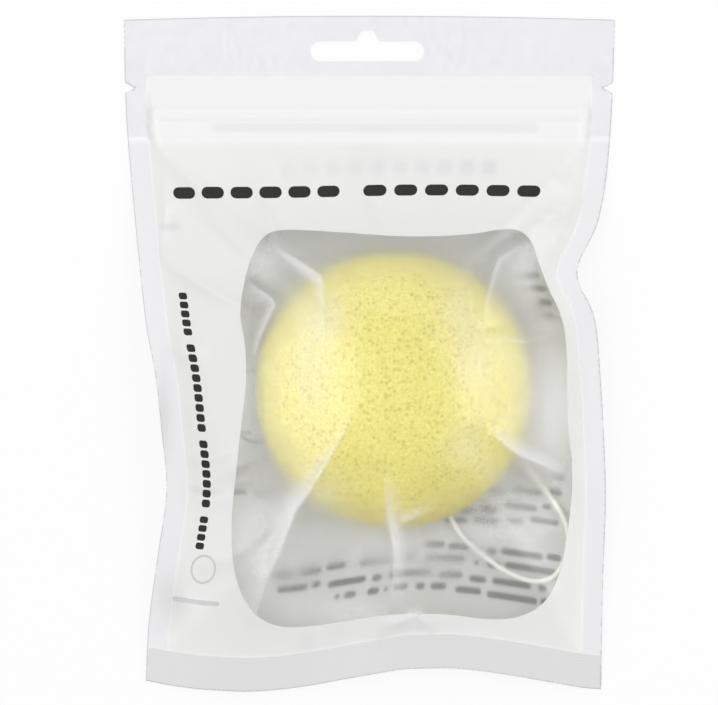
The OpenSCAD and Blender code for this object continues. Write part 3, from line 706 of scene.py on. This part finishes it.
# The front web. The same film printed white on its inside except for the window, with a dark dashed band over the
# window and one up its side. It is drawn tight over the sponge, and creases run from there to the corners and seals.
window_w, window_l, window_x, window_y = 89.4, 104.7, 8.5, 69.6 - half_l
window_points = [
    (-0.8, 0.965), (-0.7, 0.993), (-0.52, 0.99), (-0.3, 0.978), (-0.04, 0.963), (0.2, 0.962), (0.42, 0.975),
    (0.6, 0.998), (0.7, 0.985), (0.765, 0.925), (0.8, 0.83), (0.865, 0.69), (0.935, 0.56), (0.965, 0.41), (0.97, 0.22),
    (0.975, 0.02), (0.998, -0.18), (0.995, -0.36), (0.965, -0.56), (0.92, -0.74), (0.83, -0.875), (0.68, -0.945),
    (0.5, -0.955), (0.3, -0.932), (0.1, -0.925), (-0.12, -0.935), (-0.38, -0.972), (-0.58, -0.995), (-0.73, -0.99),
    (-0.855, -0.935), (-0.945, -0.82), (-0.99, -0.66), (-0.998, -0.45), (-0.97, -0.22), (-0.94, 0.02), (-0.912, 0.24),
    (-0.918, 0.42), (-0.945, 0.57), (-0.925, 0.72), (-0.875, 0.87)]
drape_gap, film_puff = 0.4, 2           # over the dome, and the greatest swell beyond it
zip_end_gap, zip_top_z = 2, 1.82        # from the zip's ends to the seals, and over the zip
rib_y = zip_top_y - 1.8
panel_at_zip = side_x(right_edge, zip_bottom_y) - side_x(left_edge, zip_bottom_y) - 2 * side_seal_w
ramp = (zip_end_gap - film_t) / panel_at_zip


def zip_z(a, b):
    """The front web's height over the zip, sloping down to the side seals."""
    away = np.minimum(a, 1 - a)
    return np.where(away <= 0, seal_z(a, b), mix(seal_z(a, b), zip_top_z, np.clip(away / ramp, 0, 1)))


def front_z(x, y):
    """The height of the front web's underside: on the sponge's dome as far as a tangent from its edge, and along that
    with a slight swell to the seals; over the zip it stands on the rib strip."""
    a, b = film_place(x, y)
    ea, eb = edge_place(a, b)
    edge_z = np.where(eb > 0.999, zip_z(ea, np.ones_like(eb)), seal_z(ea, eb))
    edge_r, r = from_axis(*plan(ea, eb)), from_axis(x, y)
    wide, high, base = sponge_d / 2 + drape_gap, sponge_h - belly_h + drape_gap, seat_z + belly_h
    flat = (edge_z - base) * wide / high
    turn = np.arctan2(flat, edge_r) + np.arccos(np.minimum(1, wide / np.hypot(edge_r, flat)))
    touch_r, touch_z = wide * np.cos(turn), base + high * np.sin(turn)
    k = np.clip((r - touch_r) / np.maximum(edge_r - touch_r, 1e-6), 0, 1)
    dome = base + high * np.sqrt(np.maximum(0, 1 - (r / wide) ** 2))
    over = np.where(r <= touch_r, dome, mix(touch_z, edge_z, k) + film_puff * 27 / 4 * k**2 * (1 - k))
    mouth = mix(zip_z(a, b), seal_z(a, b), np.clip(b - 2, 0, 1))
    sealed = (a <= 0) | (a >= 1) | (b <= 0) | (b >= 3)
    return np.where(sealed, seal_z(a, b), np.where(b < 1, over, np.where(b <= 2, zip_z(a, b), mouth)))


def eased_z(x, y, by):
    """The front web's height, with its sharp bends eased over a distance."""
    return sum(front_z(x + by * i, y + by * j) for i in (-1, 0, 1) for j in (-1, 0, 1)) / 9


def ring_outlines(u, v, radius, width):
    """The outer and inner outline of a ring."""
    turns = [2 * math.pi * k / 32 for k in range(32)]
    return [[(u + r * math.cos(t), v + r * math.sin(t)) for t in turns] for r in (radius, radius - width)]


def smooth_ring(points, steps):
    """A closed smooth line through points."""
    p = np.array(points, float)
    return np.vstack([bent(*four, steps) for four in zip(*[np.roll(p, -k, 0) for k in (-1, 0, 1, 2)])])


def folds(x, y, table):
    """Heights of creases at points. A crease stands highest in its middle and dies out at its ends. Also gives how
    near each point is to its crest, with a painted highlight that reaches further out on its left side."""
    height, crest = np.zeros(len(x)), np.zeros(len(x))
    top_r = 0.45
    for high, wide, highlight_widths, places in table:
        p = np.array(places, float)
        run = run_along(p)
        best, where, left = np.full(len(x), 1e9), np.zeros(len(x)), np.zeros(len(x), bool)
        for q, w, start, length in zip(p, p[1:], run, np.diff(run)):
            t = np.clip(((x - q[0]) * (w[0] - q[0]) + (y - q[1]) * (w[1] - q[1])) / length**2, 0, 1)
            d = np.hypot(x - mix(q[0], w[0], t), y - mix(q[1], w[1], t))
            closer = d < best
            best, where = np.where(closer, d, best), np.where(closer, (start + t * length) / run[-1], where)
            left = np.where(closer, (w[0] - q[0]) * (y - q[1]) > (w[1] - q[1]) * (x - q[0]), left)
        taper = np.sin(np.pi * np.clip(where, 0.02, 0.98)) ** 0.6
        flank = np.exp(-(np.hypot(best, top_r) - top_r) / wide)
        height = np.maximum(height, high * taper * flank)
        crest_w = mix(highlight_widths[0], highlight_widths[1], where)
        crest_highlight = np.exp(-(best / np.where(left, crest_w, np.minimum(0.4 * crest_w, 0.6))) ** 2)
        crest = np.maximum(crest, taper * crest_highlight * min(1, high / 2))
    return height, crest


# Each row is a crease's height, the width of its flanks, the width of its painted highlight at both ends and the
# places that it joins.
main_folds = [
    (1.3, 3.0, (3, 1.1), [(-13, 2), (-12.1, 8.1), (-12.1, 14.1), (-12.8, 19.6), (-13.6, 20.4), (-21, 25.3),
                          (-28.5, 30)]),
    (1.0, 2.6, (1.6, 1.6), [(-31.1, -3.1), (-28.5, 5.2), (-25, 12.8), (-26, 14.4), (-28.5, 16.3), (-32.4, 19.4)]),
    (1.7, 3.2, (6.5, 1.3), [(-31.3, -73), (-29.2, -65.3), (-26.8, -57.8), (-25.2, -54.7), (-23.1, -49.7),
                            (-21.5, -45.2), (-19.6, -40.7), (-16.2, -36.2), (-12, -29.8), (-8.2, -23.2), (-5, -17)]),
    (0.8, 3.0, (1.8, 0.3), [(43.6, 30.5), (38.5, 27.8), (33.9, 24.7), (32.6, 21), (30.4, 14), (29.8, 6.2)]),
    (0.5, 2.6, (0.9, 1.2), [(29.8, 6.2), (35.9, 3.5), (42.5, 2.5)]),
    (1.4, 4.0, (1.6, 1.6), [(40, 31.5), (46.5, 34.8), (51.8, 38.5), (57.1, 41.9)]),
    (1.3, 2.6, (2.5, 3), [(3.8, -30.9), (4.5, -35.4), (4.8, -41.5), (5.6, -45.9), (6.5, -50.7), (6.5, -58.7),
                          (6, -66)]),
    (0.8, 2.2, (1.8, 1.8), [(5.4, -40.1), (8.6, -43.8), (16, -40.1)]),
    (1.4, 3.4, (2, 5), [(31, -19.5), (34.5, -22.9), (39.3, -26.4), (45.1, -28.8), (52.8, -32.2)]),
    (1.5, 3.0, (1.6, 1.6), [(0.8, -77.5), (6.5, -71), (12.5, -68.5), (18.7, -75.9)])]
dice = np.random.default_rng(21)
small_folds = []
for k in range(46):
    # Tension folds that run out from the sponge's rim to the seals
    t, near_r = dice.uniform(0, 2 * math.pi), dice.uniform(38, 52)
    bend, far_r = dice.normal(0, 0.12), near_r + dice.uniform(9, 34)
    small_folds.append((dice.uniform(0.3, 1.0), dice.uniform(1.6, 3.6), (1, 1), [
        (sponge_x + r * math.cos(t + bend * s), sponge_y + r * math.sin(t + bend * s))
        for r, s in ((near_r, 0), (mix(near_r, far_r, 0.5), 0.4), (far_r, 1))]))
for k in range(26):
    # Short puckers along the side seals
    side, v = dice.choice((0.0, 1.0)), dice.uniform(0.05, 0.95)
    inward = (1 - 2 * side) * dice.uniform(0.05, 0.13)
    small_folds.append((dice.uniform(0.15, 0.5), dice.uniform(1, 2.2), (1, 1), [
        tuple(float(c) for c in plan(side + inward * s, v + dice.normal(0, 0.012) * s)) for s in (0.05, 0.5, 1)]))
zip_puckers = []
for k in range(14):
    # Wrinkles where the zip's ends are crushed beside the seals
    side, v = k % 2, 0.75 + 0.24 * (k // 2) + dice.uniform(-0.1, 0.1)
    inward = (1 - 2 * side) * dice.uniform(0.012, 0.035)
    zip_puckers.append((dice.uniform(0.15, 0.4), dice.uniform(0.5, 0.9), (1, 1), [
        tuple(float(c) for c in plan(side + inward * s, v + dice.uniform(0.1, 0.3) * s)) for s in (0.1, 0.6, 1.2)]))

columns = np.r_[seal_columns, np.linspace(0, 0.04, 8), np.linspace(0.04, 0.96, 130)[1:-1], np.linspace(0.96, 1, 8),
                1 - seal_columns[::-1]]
rows = np.r_[np.linspace(-1, 0, 49), np.linspace(0, 1, 156)[1:], np.linspace(1, 2, 26)[1:], np.linspace(2, 3, 12)[1:],
             3.03, 3.1, np.linspace(3.2, 4, 10)]
window_ring = smooth_ring([(window_x + p * window_w / 2, window_y + q * window_l / 2) for p, q in window_points], 5)
front_bars = [
    # The band over the window
    *[rounded(-50.7 + 7.95 * k, 118.2, 6.2, 3) for k in range(6)],
    *[rounded(1.8 + 8.45 * k, 118.2, 6.4, 3) for k in range(6)],
    # The one up the side
    *[rounded(-53.5, v + (k + 0.5) * pitch, pitch - 0.55, 2.5, turn=90, corner=0.35)
      for v, pitch, count in ((26.7, 2.25, 4), (37.5, 2.52, 7), (56.8, 2.54, 9), (81.4, 2.3, 5)) for k in range(count)],
    rounded(-52.5, 13.5, 14, 1.2)]
rings = ring_outlines(-51.5, 22, 3.8, 0.6)
regions = [window_ring, *[on_film(bar) for bar in front_bars], *[on_film(ring) for ring in rings]]
beside_crests = []
for _, _, _, places in main_folds:
    # Rows of points along a crest and beside it keep it sharp.
    p = np.array(places, float)
    run = run_along(p)
    on = np.stack([np.interp(np.arange(1, run[-1] - 1, 0.7), run, c) for c in p.T], axis=1)
    along = np.gradient(on, axis=0)
    along /= np.linalg.norm(along, axis=1)[:, None]
    beside_crests += [on + off * np.stack([-along[:, 1], along[:, 0]], axis=1) for off in (-0.8, -0.4, 0, 0.5, 1)]
points, triangles, inside, cut = web_mesh(columns, rows, regions, beside_crests)
x, y = points.T
a, b = film_place(x, y)
from_side = np.minimum(a, 1 - a)
high, crest = folds(x, y, main_folds)
low, _ = folds(x, y, small_folds)
puckers, _ = folds(x, y, zip_puckers)
# Everything that isn't flat dies out beside the seals: the larger the number, the nearer to them.
open_film = np.clip(np.minimum(from_side, np.minimum(b, 1 - b)) * 40, 0, 1)
unsealed = np.clip(from_side * 40, 0, 1) * np.clip(b * 40, 0, 1) * np.clip((3 - b) * 6, 0, 1)
z = mix(front_z(x, y), eased_z(x, y, 1.5), unsealed) + (high + low) * open_film
z += puckers * np.clip(from_side * 200, 0, 1) * np.clip((3 - b) * 3, 0, 1)
# The bottom seal is embossed with fine ribs. The zip's rib and the lower edge of its flange stand out as ridges.
emboss_pitch, emboss_high = 0.75, 0.05
rib_high, rib_wide, flange_high, flange_wide = 0.42, 0.8, 0.06, 0.5
emboss = emboss_high * np.sin(2 * math.pi * b * bottom_seal_h / emboss_pitch)
z += np.where(b < 0, emboss * np.clip(-b * 12, 0, 1), 0)
z += np.clip(from_side * 30, 0, 1) * (rib_high * np.exp(-((y - rib_y) / rib_wide) ** 4)
                                      + flange_high * np.exp(-((y - zip_bottom_y) / flange_wide) ** 2))
# Where the film is: 0 over the pouch's inside, 0.3 over the zip and mouth, 0.6 in the side seals, 0.8 in the header
# and beside the zip, and 1 in the bottom seal.
beside = (a < -0.01) | (a > 1.01)
sealed = np.where(b < -0.01, 1, np.where((b > 3.01) | beside & (b > 1), 0.8, np.where(beside, 0.6, np.where(
    b > 1.01, 0.3, 0))))


def blots(table):
    """How strongly soft round patches cover each point. Each row is a patch's place, half widths and strength."""
    return sum(much * np.exp(-((x - px) / rx) ** 2 - ((y - py) / ry) ** 2) for px, py, rx, ry, much in table)


# The film is clear where it lies on the sponge's crown, and hazy in an uneven ring round it and in a few patches more.
# Over the cord and the lowest bars it touches the back web, and is clear again.
crown_r, ring_r, haze_fade, clearest = 28, 52, 9, -0.3
r = from_axis(x, y)
r += 1.8 * np.sin(x / 3.3 + 1.7 * np.sin(y / 5.1)) * np.sin(y / 3.9 + 0.6)
haze = np.clip((r - crown_r) / haze_fade, 0, 1) * np.clip((ring_r - r) / haze_fade, 0, 1)
haze = haze * np.clip((x + 33) / 10, 0.1, 1) + blots([(-17, 13, 7, 8, 0.6), (33, -5, 7, 14, 0.5)])
touching = blots([(20, -47, 10, 8, 0.9), (38, -40, 13, 10, 0.6), (-34, -22, 5, 12, 1), (46, 16, 6, 10, 0.7),
                  (-2, -58, 9, 4.5, 0.8)])
haze = mix(haze, clearest, np.clip(touching, 0, 1)) + blots([(-21, -55.5, 7.5, 4.5, 0.75)])
# Painted highlights: soft white patches where the soft boxes' light shows on the film.
painted_highlights = blots([
    (-34, -12, 4, 16, 0.45), (-31, -50, 6, 13, 0.42), (50, -14, 8, 15, 0.7), (-4, -68, 9, 3.5, 0.5),
    (33, -46.5, 14, 3.5, 0.3), (40, 23, 5, 7, 0.3), (-15, -3, 5, 13, 0.25), (27, 0, 6, 9, 0.2), (-28, 25, 6, 6, 0.4),
    (12, -53, 12, 5, 0.2), (-11, 9, 6, 6.5, 0.3), (-12, -36, 5, 5, 0.2), (23, 11, 5.5, 8, 0.24), (25, -24, 5, 6, 0.22),
    (-18, -65, 7, 3, 0.15)])
# The back web's dashes and two of its bars show faintly through the white print, and less where it is thicker.
through = sum(much * np.exp(-((panel_w * (a - 0.5) - u) / du) ** 4 - ((panel_l * b - v) / dv) ** 4)
              for u, v, du, dv, much in [
                  *[(-21.8 + 6.05 * k, 124.4, 2.3, 2.2, 0.35 + 0.075 * k) for k in range(10)],
                  (-55.5, 109.6, 3.2, 1, 1), (-54, 41.8, 4.4, 0.9, 1)])
# Painted shade: down the left side the white print is greyed where folds and the seal's slope shade it.
thin = blots([(-54.5, -17, 2.6, 12, 0.36), (-52.5, -65, 4, 7, 0.25), (-49.5, -28, 4, 16, 0.06)])
widest_gap, whole_r = 15, 38    # the gap at which the painted shade over the hollow is deepest, and from where creases get their full painted highlight
marks = {"seal": sealed, "cut": cut, "gap": np.clip((z - back_z(x, y)) / widest_gap, 0, 1),
         "crease": np.maximum(crest * np.clip(r / whole_r, 0.5, 1), painted_highlights) * open_film,
         "haze": haze, "through": through, "thin": thin}
points = np.stack([x, y, z], axis=1)
# The window is region 0, and the last three are the short rule and the ring, in paler ink. An even number of outlines
# round a triangle, as inside the ring, means no ink.
pale_from = len(regions) - 3
clear = [0 in r for r in inside]
inked = [0 if len(r - {0}) % 2 == 0 else 2 if max(r) >= pale_from else 1 for r in inside]

frosted, tree = new_finish("frosted_film")
sealed = attribute(tree, "seal")
cloud = grain_of(tree, 180.0, 4.0, 0.6)
# The bottom seal's darker grey is painted shade of its crimping.
print_white = Shade.add(tree, "ValToRGB", {"stops": [
    (0.0, (0.93, 0.93, 0.925)), (0.3, (0.91, 0.91, 0.915)), (0.6, (0.85, 0.848, 0.862)), (0.8, (0.925, 0.92, 0.955)),
    (1.0, (0.75, 0.755, 0.75))]}, {"Fac": sealed})
# Painted shade: the print is greyed where the hollow behind it is deep.
hollow_shade = attribute(tree, "gap")
tint = mixed_colour(tree, hollow_shade * 0.34, print_white, (0.55, 0.55, 0.5, 1))
tint = mixed_colour(tree, cloud * 0.05, tint, (0.8, 0.8, 0.8, 1))
tint = mixed_colour(tree, attribute(tree, "through") * 0.2, tint, (0.45, 0.47, 0.53, 1))
# Painted shade down the left side.
tint = mixed_colour(tree, attribute(tree, "thin"), tint, (0.5, 0.5, 0.5, 1))
# Painted shade: a dark line along the cut edge, where light bends in the film's edge.
tint = mixed_colour(tree, attribute(tree, "cut") * 0.7, tint, (0.35, 0.35, 0.36, 1))
relief = relief_of(tree, cloud, 0.2, 0.0003)
film = Shade.add(tree, "BsdfPrincipled", sockets={
    "Base Color": tint, "Roughness": 0.38, "IOR": 1.5, "Transmission Weight": 0.19, "Normal": relief})


def show_film(tree, film, passed):
    """Joins a film's shader to the output, and lets a share of the lamps' light pass straight through it."""
    lit = Shade.add(tree, "BsdfTransparent", sockets={"Color": (passed, passed, passed, 1)})
    lamp_ray = Shade.add(tree, "LightPath", out="Is Shadow Ray")
    show(tree, Shade.add(tree, "MixShader", sockets={0: lamp_ray, 1: film, 2: lit}))


show_film(tree, film, 0.75)

black_ink = new_ink("black_ink", 1400.0, (0.009, 0.009, 0.006, 1), (0.016, 0.015, 0.011, 1), 0.5, 0.25)
pale_ink = new_ink("pale_ink", 1400.0, (0.55, 0.55, 0.565, 1), (0.66, 0.66, 0.675, 1), 0.45)
front = web_piece("printed_front", points, [t for t, c in zip(triangles, clear) if not c], marks,
                  [frosted, black_ink, pale_ink], [i for i, c in zip(inked, clear) if not c])
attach(front, "pouch")
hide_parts("front_film")


# The window. The same web without print: a hazy clear film. What lies on it is sharp, and what lies further behind
# it is blurred; its creases and a few patches carry painted highlights.
finish, tree = new_finish("clear_film")
crease = attribute(tree, "crease")
haze = attribute(tree, "haze")
cloud = grain_of(tree, 140.0, 3.0)
relief = relief_of(tree, cloud, 0.25, 0.0004)
grit = grain_of(tree, 6000.0, 1.0)
hazy = Shade.add(tree, "BsdfPrincipled", sockets={
    "Base Color": (0.985, 0.99, 0.985, 1), "Roughness": 0.07 + 0.24 * haze + 0.26 * grit, "IOR": 1.45,
    "Transmission Weight": 0.97, "Normal": relief})
# Painted highlight: the white shader is mixed in along the creases and in the patches, with a little more where the
# film is hazy.
white = Shade.add(tree, "BsdfDiffuse", sockets={"Color": (0.9, 0.9, 0.9, 1)})
film = Shade.add(tree, "MixShader", sockets={0: crease * (0.1 + 0.8 * grit) + haze * 0.05, 1: hazy, 2: white})
show_film(tree, film, 0.93)
window = web_piece("clear_window", points, [t for t, c in zip(triangles, clear) if c], marks, [finish],
                   [0] * sum(clear))
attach(window, "pouch")
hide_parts("front_window")
